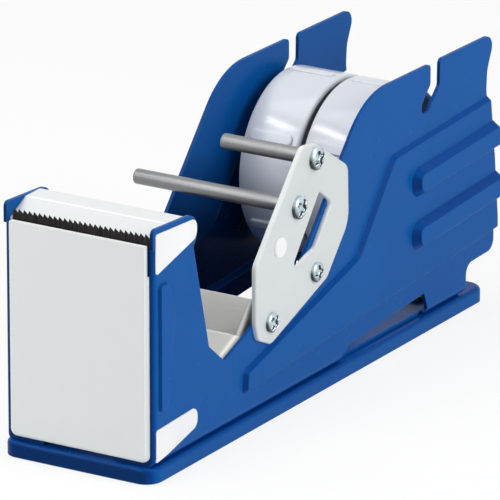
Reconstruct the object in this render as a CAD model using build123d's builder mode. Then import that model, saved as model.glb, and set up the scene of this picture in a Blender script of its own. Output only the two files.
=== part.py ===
"""Multi-roll tape dispenser for a counter: two pressed steel side plates on a base pan,
a serrated cutter on a front tower, and two core drums on an axle that lies in open channels.
Millimetres, +X right, +Y away from the cutter, +Z up. The origin is on the table, under the
middle of the whole dispenser."""
from build123d import *
import math
import os

os.makedirs("parts", exist_ok=True)

# Driving sizes of the whole dispenser
drum_radius = 38.0
drum_width = 26.0
drum_gap = 2.6
side_gap = 5.7
sheet = 1.5
body_length = 266.5
body_height = 109.0
base_height = 7.0
front_overhang = 2.6
overrun = 1.0
fit_gap = 0.1
running_gap = 0.05
seat_gap = 0.3

# What follows from them
inner_x = drum_width + drum_gap / 2 + side_gap
outer_x = inner_x + sheet
front_y = (front_overhang - body_length) / 2
flange_top = base_height + sheet


def side_plane(x):
    """Plane seen from the right: its first axis runs back from the front, its second up."""
    return Plane(origin=(x, front_y, 0), x_dir=(0, 1, 0), z_dir=(1, 0, 0))


def side_point(length_share, height_share):
    """A place on the side view, as shares of the body's length and height."""
    return (length_share * body_length, base_height + height_share * body_height)


def side_outline(corner_shares, radii):
    """Closed side-view outline with one radius at each corner."""
    FilletPolyline(*[side_point(*corner) for corner in corner_shares], radius=radii, close=True)


def bend_corner(radius):
    """What a bend of this radius takes off a square corner at the sketch's origin."""
    with BuildSketch() as corner:
        with BuildLine():
            Polyline((-radius, 0), (0, 0), (0, radius))
            CenterArc((-radius, radius), radius, -90, 90)
        make_face()
    return corner.sketch


# Side plates: one pressed blank, with the tower, the throat, the hooked slot and the rear fin
fine_radius = 1.2
corner_radius = 2.2
nose_radius = 6.5
throat_radius = 24.0
lobe_radius = 38.0
fin_radius = 5.0
waist_radius = 14.0
heel_radius = 5.0
plate_corner_shares = [
    (0.0, 0.0), (0.0, 0.903), (0.1215, 0.886), (0.1195, 0.79), (0.111, 0.764), (0.154, 0.352),
    (0.198, 0.265), (0.262, 0.322), (0.418, 0.482), (0.608, 1.002), (0.800, 0.995),
    (0.800, 0.915), (0.774, 0.853), (0.773, 0.811), (0.792, 0.811), (0.828, 0.892),
    (0.829, 0.994), (1.0, 0.988), (0.975, 0.856), (0.973, 0.778), (0.989, 0.5),
    (1.0, 0.255), (1.0, 0.124), (0.915, 0.118), (0.914, 0.0)]
plate_radii = [
    0, corner_radius, nose_radius, corner_radius, corner_radius, corner_radius,
    fine_radius, waist_radius, throat_radius, lobe_radius, corner_radius,
    corner_radius, corner_radius, corner_radius, corner_radius, corner_radius,
    corner_radius, fin_radius, waist_radius, waist_radius, waist_radius,
    waist_radius, heel_radius, heel_radius, 0]
front_flange_width = 16.0
front_flange_share = 0.825
bottom_flange_width = 18.0
bottom_flange_share = 0.9
relief = 0.5
front_bend_radius = 2.8
bottom_bend_radius = 4.0

# Pressed panel and the two channels in it, which open at the rear edge
panel_depth = 2.0
panel_run = 1.7
channel_depth = 3.5
channel_run = 2.6
channel_flat = 7.6
channel_end_radius = 3.0
channel_slope = 3.0
pressing_edge = 0.1
panel_corner_shares = [
    (1.03, 0.759), (0.681, 0.716), (0.575, 0.398), (0.250, 0.187), (0.246, 0.096), (1.03, 0.204)]
panel_radii = [
    0, heel_radius + panel_run, heel_radius + panel_run, corner_radius + panel_run,
    corner_radius, 0]
axle_shares = (0.756, 0.568)
lower_channel_shares = (0.756, 0.357)

# A low stiffening rib pressed up the front of each tower
tower_rib_depth = 1.2
tower_rib_run = 1.0
tower_rib_shares = [(0.013, 0.69), (0.038, 0.69), (0.058, 0.56), (0.036, 0.21), (0.013, 0.195)]
tower_rib_radii = [corner_radius, corner_radius, waist_radius, corner_radius, corner_radius]

# Slot that runs along the bottom bend of each plate
cut_shares = [(0.539, 0.016), (0.555, 0.058), (0.785, 0.097), (0.796, 0.03), (0.79, 0.016)]
cut_flange_setback = 2.0

# Fasteners through the plates: their places and hole sizes
dome_share = 0.5
rivet_radius = 1.6
rivet_length_shares = (0.17, 0.48, 0.89)
rivet_inset = 9.0
foot_inset = 10.5
foot_length_shares = (0.075, 0.842)
foot_screw_radius = 2.0
tray_rivet_share = 0.117
sheet_screw_radius = 1.5
sheet_screw_head_radius = 2.8
sheet_screw_shares = [(0.032, 0.8), (0.078, 0.806)]
stud_radius = 1.5
stud_height_shares = (0.12, 0.765)
bracket_screw_radius = 2.5
bracket_screw_shares = [(0.447, 0.43), (0.318, 0.329)]

panel_outer_x = outer_x + panel_depth
panel_inner_x = inner_x + panel_depth
channel_outer_x = panel_outer_x + channel_depth
channel_inner_x = panel_inner_x + channel_depth
axle_y, axle_z = side_point(*axle_shares)
rivet_x = inner_x - rivet_inset
foot_x = inner_x - foot_inset
stud_x = inner_x - front_flange_width / 2
rivet_places = [(side * rivet_x, front_y + share * body_length)
                for side in (-1, 1) for share in rivet_length_shares]
foot_places = [(side * foot_x, front_y + share * body_length)
               for side in (-1, 1) for share in foot_length_shares]
tray_rivet_places = [(side * foot_x, front_y + tray_rivet_share * body_length)
                     for side in (-1, 1)]
stud_places = [(side * stud_x, base_height + share * body_height)
               for side in (-1, 1) for share in stud_height_shares]


def channel_outline(start_shares):
    """One channel from its closed front end, round its own start, to beyond the rear edge."""
    start = side_point(*start_shares)
    half_width = channel_flat / 2 + channel_run
    length = body_length - start[0] + drum_radius
    with Locations(Location(start, channel_slope)):
        with Locations((-half_width, 0)):
            RectangleRounded(length, 2 * half_width, channel_end_radius + channel_run,
                             align=(Align.MIN, Align.CENTER))


def raised(outline, depth, run):
    """A pressing of this outline with sloping sides, added to the part in hand."""
    extrude(outline, amount=depth)
    crown = faces().sort_by(Axis.X)[-1]
    crown_x = crown.center().X
    rims = [face for face in faces() if abs(face.center().X - crown_x) < pressing_edge]
    for face in rims:
        chamfer(face.edges(), length=run, length2=depth - pressing_edge, reference=face)


def pressing(start_x):
    """The panel with its channels, and the tower's rib, from one face of the wall outwards."""
    with BuildPart() as channels:
        with BuildSketch(side_plane(start_x + panel_depth)) as channel_shape:
            channel_outline(axle_shares)
            channel_outline(lower_channel_shares)
        raised(channel_shape.sketch, channel_depth, channel_run)
    with BuildPart() as tower_rib:
        with BuildSketch(side_plane(start_x)) as rib_shape:
            with BuildLine():
                side_outline(tower_rib_shares, tower_rib_radii)
            make_face()
        raised(rib_shape.sketch, tower_rib_depth, tower_rib_run)
    with BuildPart() as block:
        with BuildSketch(side_plane(start_x)) as panel_shape:
            with BuildLine():
                side_outline(panel_corner_shares, panel_radii)
            make_face()
        raised(panel_shape.sketch, panel_depth, panel_run)
        add(channels.part)
        add(tower_rib.part)
    return block.part


bottom_bend_fill = bend_corner(bottom_bend_radius - sheet)
bottom_bend_cut = bend_corner(bottom_bend_radius)
front_bend_cut = bend_corner(front_bend_radius)
outer_pressing = pressing(outer_x)
inner_pressing = pressing(inner_x)

with BuildPart() as plate_blank:
    with BuildSketch(side_plane(inner_x)) as plate_outline:
        with BuildLine():
            side_outline(plate_corner_shares, plate_radii)
        make_face()
    extrude(amount=sheet)
    add(outer_pressing)
    add(inner_pressing, mode=Mode.SUBTRACT)
    with BuildSketch(side_plane(inner_x - overrun)):
        add(plate_outline.sketch_local)
    extrude(amount=channel_outer_x, mode=Mode.INTERSECT)
    # Front and bottom flanges turned inwards
    with BuildSketch(Plane.XZ.offset(-front_y)):
        with Locations((inner_x, base_height)):
            Rectangle(front_flange_width, front_flange_share * body_height,
                      align=(Align.MAX, Align.MIN))
    extrude(amount=-sheet)
    with BuildSketch(Plane.XY.offset(base_height)):
        with Locations((inner_x, front_y + sheet + relief)):
            Rectangle(bottom_flange_width, bottom_flange_share * body_length,
                      align=(Align.MAX, Align.MIN))
    extrude(amount=sheet)
    # The inside of each bend is filled and the outside is rounded
    with BuildSketch(Plane.XZ.offset(-front_y - sheet - relief)):
        with Locations((inner_x, flange_top)):
            add(bottom_bend_fill)
    extrude(amount=-bottom_flange_share * body_length)
    with BuildSketch(Plane.XZ.offset(-front_y + overrun)):
        with Locations((outer_x, base_height)):
            add(bottom_bend_cut)
    extrude(amount=-body_length, mode=Mode.SUBTRACT)
    with BuildSketch(Plane.XY.offset(base_height)):
        with Locations((outer_x, front_y)):
            add(front_bend_cut)
    extrude(amount=front_flange_share * body_height, mode=Mode.SUBTRACT)
    # The slot along the bottom bend leaves the flange standing a little inside the wall
    with BuildSketch(side_plane(inner_x)):
        with BuildLine():
            side_outline(cut_shares, [0, fine_radius, fine_radius, fine_radius, 0])
        make_face()
    extrude(amount=panel_outer_x, mode=Mode.SUBTRACT)
    with BuildSketch(side_plane(inner_x - cut_flange_setback)):
        with Locations(side_point(cut_shares[0][0], 0)):
            Rectangle((cut_shares[-1][0] - cut_shares[0][0]) * body_length, bottom_bend_radius,
                      align=(Align.MIN, Align.MIN))
    extrude(amount=panel_outer_x, mode=Mode.SUBTRACT)
    # Holes for rivets, feet, cover studs and the screws of the top sheet
    with Locations(*[(x, y, flange_top) for x, y in rivet_places if x > 0]):
        Hole(rivet_radius + fit_gap, depth=sheet)
    with Locations(*[(x, y, flange_top) for x, y in tray_rivet_places if x > 0]):
        Hole(rivet_radius + fit_gap, depth=sheet)
    with Locations(*[(x, y, flange_top) for x, y in foot_places if x > 0]):
        Hole(foot_screw_radius + fit_gap, depth=sheet)
    with BuildSketch(Plane.XZ.offset(-front_y)):
        with Locations(*[place for place in stud_places if place[0] > 0]):
            Circle(stud_radius + fit_gap)
    extrude(amount=-sheet, mode=Mode.SUBTRACT)
    with Locations(side_plane(outer_x)):
        with Locations(*[side_point(*place) for place in sheet_screw_shares]):
            CounterSinkHole(sheet_screw_radius + fit_gap, sheet_screw_head_radius + fit_gap,
                            depth=sheet, counter_sink_angle=90)

with BuildPart() as left_side_plate:
    mirror(plate_blank.part, about=Plane.YZ)

with BuildPart() as right_side_plate:
    add(plate_blank.part)
    with BuildSketch(side_plane(inner_x)):
        with Locations(*[side_point(*place) for place in bracket_screw_shares]):
            Circle(bracket_screw_radius + fit_gap)
    extrude(amount=sheet, mode=Mode.SUBTRACT)

# Base pan: a flat top with a lip turned down all round
base_side_overhang = 0.8
base_rear_share = 0.974
base_corner_radius = 7.0
base_bend_radius = 2.0
lip_clearance = 0.6
base_width = 2 * (outer_x + base_side_overhang)
base_length = front_overhang + base_rear_share * body_length
base_centre_y = front_y - front_overhang + base_length / 2
base_underside = base_height - sheet

with BuildPart() as base_pan:
    with BuildSketch(Plane.XY.offset(lip_clearance)):
        with Locations((0, base_centre_y)):
            RectangleRounded(base_width, base_length, base_corner_radius)
    extrude(amount=base_height - lip_clearance)
    fillet(base_pan.faces().sort_by(Axis.Z)[-1].edges(), base_bend_radius)
    with BuildSketch(Plane.XY.offset(lip_clearance)):
        with Locations((0, base_centre_y)):
            RectangleRounded(base_width - 2 * sheet, base_length - 2 * sheet,
                             base_corner_radius - sheet)
    extrude(amount=base_underside - lip_clearance, mode=Mode.SUBTRACT)
    with Locations(*[(x, y, base_height) for x, y in rivet_places + tray_rivet_places]):
        Hole(rivet_radius + fit_gap, depth=sheet)
    with Locations(*[(x, y, base_height) for x, y in foot_places]):
        Hole(foot_screw_radius + fit_gap, depth=sheet)


def discs(plane, places, radius, depth, mode=Mode.ADD):
    """Equal round discs, studs or bores at these places on a plane."""
    with BuildSketch(plane) as outline:
        with Locations(*places):
            Circle(radius)
    extrude(outline.sketch, amount=depth, mode=mode)


def crosses(plane, places, reach, depth):
    """Cross recesses cut into screw heads, from the plane down."""
    with BuildSketch(plane) as outline:
        with Locations(*places):
            Rectangle(2 * reach, reach / 2)
            Rectangle(reach / 2, 2 * reach)
    extrude(outline.sketch, amount=-depth, mode=Mode.SUBTRACT)


def pan_screws(plane, places, shank_radius, shank_length, head_radius, head_height):
    """Pan head screws whose heads stand on the plane, with their shanks behind it."""
    discs(plane, places, shank_radius, -shank_length)
    discs(plane, places, head_radius, head_height)
    rims = edges().group_by(Axis(plane.origin, plane.z_dir))[-1]
    chamfer(rims, head_height * dome_share, head_height * dome_share * 2)
    crosses(plane.offset(head_height), places, head_radius / 2, head_height / 2)


def rivets(plane, places, grip):
    """Flat rivets: the head stands on the plane, the closed end is behind the grip."""
    discs(plane, places, rivet_radius, -grip)
    discs(plane, places, rivet_head_radius, rivet_head_height)
    discs(plane.offset(-grip), places, rivet_tail_radius, -rivet_head_height)


# Feet, their black screws and the rivets of the base
foot_radius = 7.0
foot_taper = 5.0
foot_edge = 0.8
foot_edge_angle = 45.0
foot_skin = 1.6
foot_screw_head_radius = 4.0
foot_screw_head_height = 2.6
rivet_head_radius = 3.0
rivet_head_height = 1.0
rivet_tail_radius = 2.5
tray_sheet = 1.2

with BuildPart() as rubber_feet:
    with BuildSketch(Plane.XY.offset(foot_edge)) as foot_discs:
        with Locations(*foot_places):
            Circle(foot_radius)
    extrude(foot_discs.sketch, amount=base_underside - foot_edge, taper=foot_taper)
    extrude(foot_discs.sketch, amount=-foot_edge, taper=foot_edge_angle)
    discs(Plane.XY.offset(foot_skin), foot_places, foot_screw_radius + fit_gap,
          base_underside - foot_skin, Mode.SUBTRACT)

with BuildPart() as foot_screws:
    pan_screws(Plane.XY.offset(flange_top), foot_places, foot_screw_radius,
               flange_top - foot_skin - seat_gap, foot_screw_head_radius, foot_screw_head_height)

with BuildPart() as base_rivets:
    rivets(Plane.XY.offset(flange_top), rivet_places, 2 * sheet)

with BuildPart() as tray_rivets:
    rivets(Plane.XY.offset(flange_top + tray_sheet), tray_rivet_places, 2 * sheet + tray_sheet)

# Front cover: a shallow pan on the tower's front, open at its top edge for the blade
cover_wall = 1.0
cover_depth = 2.2
cover_inset = 1.8
cover_lift = 2.2
cover_top_share = 0.847
cover_edge_radius = 1.8
cover_corner_radius = 3.0
cover_top_radius = 2.0
nut_across_flats = 5.5
nut_height = 2.4
stud_tail = 0.8
cover_half_width = outer_x - cover_inset
cover_bottom = base_height + cover_lift
cover_top = base_height + cover_top_share * body_height
cover_height = cover_top - cover_bottom
blade_gap = 0.3
blade_bottom_share = 0.73
blade_bottom = base_height + blade_bottom_share * body_height
cover_top_cut = bend_corner(cover_top_radius)

with BuildPart() as front_cover:
    with BuildSketch(Plane.XZ.offset(-front_y)) as cover_outline:
        with Locations((0, cover_bottom)):
            Rectangle(2 * cover_half_width, cover_height, align=(Align.CENTER, Align.MIN))
        fillet(cover_outline.vertices().group_by(Axis.Y)[0], cover_corner_radius)
    extrude(amount=cover_depth)
    front_edges = front_cover.faces().sort_by(Axis.Y)[0].edges()
    fillet(front_edges.sort_by(Axis.Z)[:-1], cover_edge_radius)
    with BuildSketch(Plane.XZ.offset(-front_y)) as cover_hollow:
        with Locations((0, cover_bottom + cover_wall)):
            Rectangle(2 * (cover_half_width - cover_wall), cover_height,
                      align=(Align.CENTER, Align.MIN))
        fillet(cover_hollow.vertices().group_by(Axis.Y)[0], cover_corner_radius - cover_wall)
    extrude(amount=cover_depth - cover_wall, mode=Mode.SUBTRACT)
    # The side rims stop below the blade, which is wider than the hollow
    with BuildSketch(Plane.XZ.offset(-front_y)):
        with Locations((0, blade_bottom - blade_gap)):
            Rectangle(2 * outer_x, cover_height, align=(Align.CENTER, Align.MIN))
    extrude(amount=cover_depth - cover_wall, mode=Mode.SUBTRACT)
    # Only the left top corner is rounded
    with BuildSketch(Plane.XZ.offset(-front_y)):
        with Locations(Location((-cover_half_width, cover_top), 180)):
            add(cover_top_cut)
    extrude(amount=cover_depth, mode=Mode.SUBTRACT)
    discs(Plane.XZ.offset(cover_depth - cover_wall - front_y), stud_places, stud_radius,
          cover_wall - cover_depth - sheet - nut_height - stud_tail)

with BuildPart() as cover_nuts:
    with BuildSketch(Plane.XZ.offset(-front_y - sheet)):
        with Locations(*stud_places):
            RegularPolygon(nut_across_flats / 2, 6, major_radius=False)
            Circle(stud_radius + running_gap, mode=Mode.SUBTRACT)
    extrude(amount=-nut_height)

# Cutter blade: a thin strip with saw teeth, clamped behind the cover's top edge
blade_sheet = 0.8
blade_inset = 1.2
blade_shift = 1.5
blade_tip_share = 0.886
tooth_count = 27
tooth_depth = 1.6
blade_half_width = cover_half_width - blade_inset
blade_tip = base_height + blade_tip_share * body_height
tooth_pitch = 2 * blade_half_width / tooth_count

with BuildPart() as cutter_blade:
    with BuildSketch(Plane.XZ.offset(-front_y)):
        with BuildLine():
            blade_left = blade_shift - blade_half_width
            teeth = [(blade_left, blade_tip - tooth_depth)]
            for tooth in range(tooth_count):
                left = blade_left + tooth * tooth_pitch
                teeth.append((left + tooth_pitch / 2, blade_tip))
                teeth.append((left + tooth_pitch, blade_tip - tooth_depth))
            Polyline((blade_left, blade_bottom), *teeth,
                     (blade_left + 2 * blade_half_width, blade_bottom), close=True)
        make_face()
        with Locations(*[place for place in stud_places if place[1] > blade_bottom]):
            Circle(stud_radius + fit_gap, mode=Mode.SUBTRACT)
    extrude(amount=blade_sheet)


def bent_sheet(points, radii, thickness, half_width):
    """Sheet that follows a line in the side view, from one side to the other."""
    with BuildSketch(side_plane(-half_width)) as outline:
        with BuildLine() as path:
            FilletPolyline(*points, radius=radii)
        trace(path.edges(), thickness)
    extrude(outline.sketch, amount=2 * half_width)


def side_flanges(corner_shares, thickness, half_width):
    """Two equal flanges that close the sides of a bent sheet."""
    for start in (-half_width, half_width - thickness):
        with BuildSketch(side_plane(start)) as outline:
            with BuildLine():
                Polyline(*[side_point(*corner) for corner in corner_shares], close=True)
            make_face()
        extrude(outline.sketch, amount=thickness)


# Top sheet: rises behind the blade, runs back level and turns down, with flanges at its sides
top_sheet_thickness = 1.2
top_sheet_bend = 3.0
top_sheet_half_width = inner_x - running_gap
top_path_shares = [(0.008, 0.832), (0.0515, 0.886), (0.098, 0.886), (0.101, 0.77)]
top_flange_shares = [(0.01, 0.76), (0.01, 0.834), (0.0515, 0.885), (0.097, 0.885), (0.097, 0.76)]
sheet_screw_length = 4.0

with BuildPart() as top_sheet:
    bent_sheet([side_point(*corner) for corner in top_path_shares], [top_sheet_bend] * 2,
               top_sheet_thickness, top_sheet_half_width)
    side_flanges(top_flange_shares, top_sheet_thickness, top_sheet_half_width)
    discs(side_plane(-outer_x), [side_point(*place) for place in sheet_screw_shares],
          sheet_screw_radius + running_gap, 2 * outer_x, Mode.SUBTRACT)

with BuildPart() as top_sheet_screws:
    for side in (-1, 1):
        face = Plane(origin=(side * outer_x, front_y, 0), x_dir=(0, 1, 0), z_dir=(side, 0, 0))
        places = [(share, side * height) for share, height in
                  [side_point(*place) for place in sheet_screw_shares]]
        discs(face, places, sheet_screw_radius, -sheet_screw_length)
        with BuildSketch(face):
            with Locations(*places):
                Circle(sheet_screw_head_radius)
        extrude(amount=sheet_screw_radius - sheet_screw_head_radius, taper=45)
        crosses(face, places, sheet_screw_radius, top_sheet_thickness / 2)

# Inner tray: bare sheet that runs down from under the throat, stands on a leg and a foot
tray_gap = 2.6
tray_bend = 2.4
tray_half_width = inner_x - tray_gap
tray_foot_share = 0.096
tray_leg_share = 0.1435
tray_slope_shares = [(0.1435, 0.188), (0.218, 0.244), (0.272, 0.292), (0.304, 0.416)]
tray_flange_shares = [(0.1435, 0.146), (0.1435, 0.188), (0.218, 0.244), (0.272, 0.292),
                      (0.292, 0.37), (0.294, 0.33), (0.276, 0.25), (0.22, 0.202)]
tray_foot_height = flange_top + tray_sheet / 2

with BuildPart() as inner_tray:
    bent_sheet([(tray_foot_share * body_length, tray_foot_height),
                (tray_leg_share * body_length, tray_foot_height)]
               + [side_point(*corner) for corner in tray_slope_shares],
               [tray_bend, tray_bend, heel_radius, heel_radius], tray_sheet, tray_half_width)
    side_flanges(tray_flange_shares, tray_sheet, tray_half_width)
    discs(Plane.XY.offset(flange_top + tray_sheet), tray_rivet_places, rivet_radius + fit_gap,
          -tray_sheet, Mode.SUBTRACT)

# Guide-rod bracket on the right side plate, with its rods and fasteners
bracket_sheet = 2.0
bracket_round = 5.0
bracket_edge = 0.5
window_radius = 4.0
bracket_corner_shares = [
    (0.408, 0.938), (0.446, 0.927), (0.542, 0.777), (0.545, 0.559), (0.481, 0.381),
    (0.319, 0.241), (0.282, 0.282), (0.275, 0.349), (0.275, 0.568)]
bracket_radii = [bracket_round] * 3 + [waist_radius] + [bracket_round] * 5
window_shares = [(0.458, 0.733), (0.495, 0.668), (0.447, 0.525), (0.371, 0.466)]
window_radii = [fine_radius, corner_radius, window_radius, corner_radius]
upper_rod_shares = (0.445, 0.871)
lower_rod_shares = (0.395, 0.717)
spare_hole_shares = (0.342, 0.599)
rod_radius = 3.175
rod_end = 0.8
upper_rod_length = 41.0
rod_bore_depth = 10.0
rod_screw_length = 8.0
rod_screw_head_radius = 4.75
rod_screw_head_height = 3.0
bracket_screw_head_radius = 4.1
bracket_screw_head_height = 2.6
bracket_nut_across_flats = 8.0
bracket_nut_height = 4.0
bracket_screw_tail = 1.0
side_reach = 0.4
bracket_face_x = outer_x + bracket_sheet
lower_rod_length = outer_x + channel_outer_x - side_reach
rod_places = [side_point(*upper_rod_shares), side_point(*lower_rod_shares)]
bracket_screw_places = [side_point(*place) for place in bracket_screw_shares]
spare_place = [side_point(*spare_hole_shares)]

with BuildPart() as rod_bracket:
    with BuildSketch(side_plane(outer_x)):
        with BuildLine():
            side_outline(bracket_corner_shares, bracket_radii)
        make_face()
        with BuildLine(mode=Mode.PRIVATE) as window_line:
            side_outline(window_shares, window_radii)
        make_face(window_line.edges(), mode=Mode.SUBTRACT)
    extrude(amount=bracket_sheet)
    chamfer(rod_bracket.faces().sort_by(Axis.X)[-1].edges(), bracket_edge)
    discs(side_plane(outer_x), rod_places + bracket_screw_places + spare_place,
          bracket_screw_radius + fit_gap, bracket_sheet, Mode.SUBTRACT)


def guide_rod(place, length):
    """Round rod from the bracket's inner face, with a tapped bore in its fixed end."""
    discs(side_plane(outer_x), [place], rod_radius, -length)
    chamfer(edges().group_by(Axis.X)[0], rod_end)
    discs(side_plane(outer_x), [place], bracket_screw_radius + running_gap, -rod_bore_depth,
          Mode.SUBTRACT)


with BuildPart() as upper_rod:
    guide_rod(rod_places[0], upper_rod_length)

with BuildPart() as lower_rod:
    guide_rod(rod_places[1], lower_rod_length)

with BuildPart() as rod_screws:
    pan_screws(side_plane(bracket_face_x), rod_places, bracket_screw_radius,
               bracket_sheet + rod_screw_length, rod_screw_head_radius, rod_screw_head_height)

with BuildPart() as bracket_screws:
    pan_screws(side_plane(bracket_face_x), bracket_screw_places, bracket_screw_radius,
               bracket_sheet + sheet + bracket_nut_height + bracket_screw_tail,
               bracket_screw_head_radius, bracket_screw_head_height)

with BuildPart() as bracket_nuts:
    with BuildSketch(side_plane(inner_x)):
        with Locations(*bracket_screw_places):
            RegularPolygon(bracket_nut_across_flats / 2, 6, major_radius=False)
            Circle(bracket_screw_radius + running_gap, mode=Mode.SUBTRACT)
    extrude(amount=-bracket_nut_height)

plug_head_radius = 4.35
plug_head_height = 1.2
plug_barb = 0.5
plug_tail = 1.6
plug_taper = 22.0

with BuildPart() as spare_hole_plug:
    discs(side_plane(bracket_face_x), spare_place, plug_head_radius, plug_head_height)
    chamfer(spare_hole_plug.edges().group_by(Axis.X)[-1], plug_head_height * dome_share,
            plug_head_height)
    discs(side_plane(bracket_face_x), spare_place, bracket_screw_radius, -bracket_sheet)
    with BuildSketch(side_plane(outer_x)):
        with Locations(*spare_place):
            Circle(bracket_screw_radius + plug_barb)
    extrude(amount=-plug_tail, taper=plug_taper)

# Two thin blank pads on the right side plate
pad_sheet = 0.4
pad_nose_radius = 3.6
upper_pad_shares = [(0.006, 0.883), (0.1187, 0.868), (0.1187, 0.797), (0.006, 0.7285)]
lower_pad_shares = [(0.006, 0.142), (0.119, 0.152), (0.119, 0.078), (0.006, 0.0135)]
pad_radii = [fine_radius, pad_nose_radius, pad_nose_radius, fine_radius]

with BuildPart() as upper_side_pad:
    with BuildSketch(side_plane(outer_x)):
        with BuildLine():
            side_outline(upper_pad_shares, pad_radii)
        make_face()
    extrude(amount=pad_sheet)

# The lower pad follows the bottom bend of the plate
with BuildPart() as lower_side_pad:
    with BuildSketch(Plane.XZ.offset(-front_y)):
        with BuildLine() as lower_pad_path:
            skin = pad_sheet / 2
            FilletPolyline((outer_x + skin, base_height + body_height / 2),
                           (outer_x + skin, base_height - skin),
                           (foot_x, base_height - skin), radius=bottom_bend_radius + skin)
        trace(lower_pad_path.edges(), pad_sheet)
    extrude(amount=-body_length)
    with BuildSketch(side_plane(0)):
        with BuildLine():
            side_outline(lower_pad_shares, pad_radii)
        make_face()
    extrude(amount=channel_outer_x, mode=Mode.INTERSECT)

# Axle with its pins, spacer and collars
axle_radius = 4.75
axle_shoulder_gap = 0.8
collar_width = 4.0
collar_radius = 8.0
collar_chamfer = 0.6
spacer_radius = 7.0
pin_radius = channel_flat / 2 - running_gap
pin_length = channel_inner_x - seat_gap
axle_shoulder_x = inner_x - axle_shoulder_gap
drum_outer_x = drum_gap / 2 + drum_width
axle_place = [(axle_y, axle_z)]

with BuildPart() as drum_axle:
    discs(side_plane(-axle_shoulder_x), axle_place, axle_radius, 2 * axle_shoulder_x)
    discs(side_plane(-pin_length), axle_place, pin_radius, 2 * pin_length)
    chamfer(drum_axle.edges().group_by(Axis.X)[0] + drum_axle.edges().group_by(Axis.X)[-1],
            seat_gap)

with BuildPart() as drum_spacer:
    with BuildSketch(side_plane(seat_gap - drum_gap / 2)):
        with Locations(*axle_place):
            Circle(spacer_radius)
            Circle(axle_radius + running_gap, mode=Mode.SUBTRACT)
    extrude(amount=drum_gap - 2 * seat_gap)

with BuildPart() as axle_collars:
    for start in (-drum_outer_x - seat_gap - collar_width, drum_outer_x + seat_gap):
        discs(side_plane(start), axle_place, collar_radius, collar_width)
    chamfer(axle_collars.edges().filter_by(GeomType.CIRCLE), collar_chamfer)
    discs(side_plane(-axle_shoulder_x), axle_place, axle_radius + running_gap,
          2 * axle_shoulder_x, Mode.SUBTRACT)

# Core drums: rim, web, hub and six ribs, with six raised pads round the rim
rim_wall = 2.5
web_sheet = 2.5
hub_radius = 10.0
rib_sheet = 2.0
rib_inset = 3.0
drum_edge = 0.8
grip_count = 6
grip_width = 5.0
grip_length = 20.0
grip_height = 1.0
grip_corner_radius = 2.0
grip_edge = 0.6
drum_middle_x = (drum_gap / 2 + drum_outer_x) / 2

with BuildPart() as right_drum:
    discs(side_plane(drum_gap / 2), axle_place, drum_radius, drum_width)
    rims = right_drum.edges().filter_by(GeomType.CIRCLE)
    chamfer(rims, drum_edge)
    for start, depth in ((drum_gap / 2, drum_middle_x - web_sheet / 2 - drum_gap / 2),
                         (drum_middle_x + web_sheet / 2, drum_middle_x - web_sheet / 2)):
        with BuildSketch(side_plane(start)):
            with Locations(*axle_place):
                Circle(drum_radius - rim_wall)
                Circle(hub_radius, mode=Mode.SUBTRACT)
        extrude(amount=depth, mode=Mode.SUBTRACT)
    with BuildSketch(side_plane(drum_gap / 2 + rib_inset)):
        with Locations(*axle_place):
            with PolarLocations((hub_radius + drum_radius) / 2, grip_count, start_angle=30):
                Rectangle(drum_radius - hub_radius - rim_wall, rib_sheet)
    extrude(amount=drum_width - 2 * rib_inset)
    for grip in range(grip_count):
        angle = math.radians(90 + 360 * grip / grip_count)
        outward = Vector(0, math.cos(angle), math.sin(angle))
        middle = Vector(drum_middle_x, front_y + axle_y, axle_z)
        with BuildSketch(Plane(middle + outward * (drum_radius - rim_wall / 2),
                               x_dir=(1, 0, 0), z_dir=outward)):
            RectangleRounded(grip_length, grip_width, grip_corner_radius)
        extrude(amount=rim_wall / 2 + grip_height)
        top_edges = right_drum.faces().filter_by(GeomType.PLANE).sort_by(
            Axis(middle, outward))[-1].edges()
        chamfer(top_edges, grip_edge)
    discs(side_plane(0), axle_place, axle_radius + running_gap, drum_outer_x, Mode.SUBTRACT)

with BuildPart() as left_drum:
    mirror(right_drum.part, about=Plane.YZ)

pieces = {
    "base_pan": base_pan, "left_side_plate": left_side_plate,
    "right_side_plate": right_side_plate, "front_cover": front_cover,
    "cover_nuts": cover_nuts, "cutter_blade": cutter_blade, "top_sheet": top_sheet,
    "top_sheet_screws": top_sheet_screws, "inner_tray": inner_tray,
    "tray_rivets": tray_rivets, "rod_bracket": rod_bracket, "upper_rod": upper_rod,
    "lower_rod": lower_rod, "rod_screws": rod_screws, "bracket_screws": bracket_screws,
    "bracket_nuts": bracket_nuts, "spare_hole_plug": spare_hole_plug,
    "upper_side_pad": upper_side_pad, "lower_side_pad": lower_side_pad,
    "drum_axle": drum_axle, "drum_spacer": drum_spacer, "axle_collars": axle_collars,
    "left_drum": left_drum, "right_drum": right_drum, "rubber_feet": rubber_feet,
    "foot_screws": foot_screws, "base_rivets": base_rivets}

for name, piece in pieces.items():
    piece.part.label = name
    export_step(piece.part, f"parts/{name}.step")
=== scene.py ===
# %% [markdown]
# Multi-roll tape dispenser, dressed for its picture. The solids come in as a fixed frame in
# metres, with +X towards the bracket, +Y away from the cutter and +Z up. This file gives each
# surface its finish, remakes the pieces whose looks need finer form, and sets light and camera.

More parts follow.
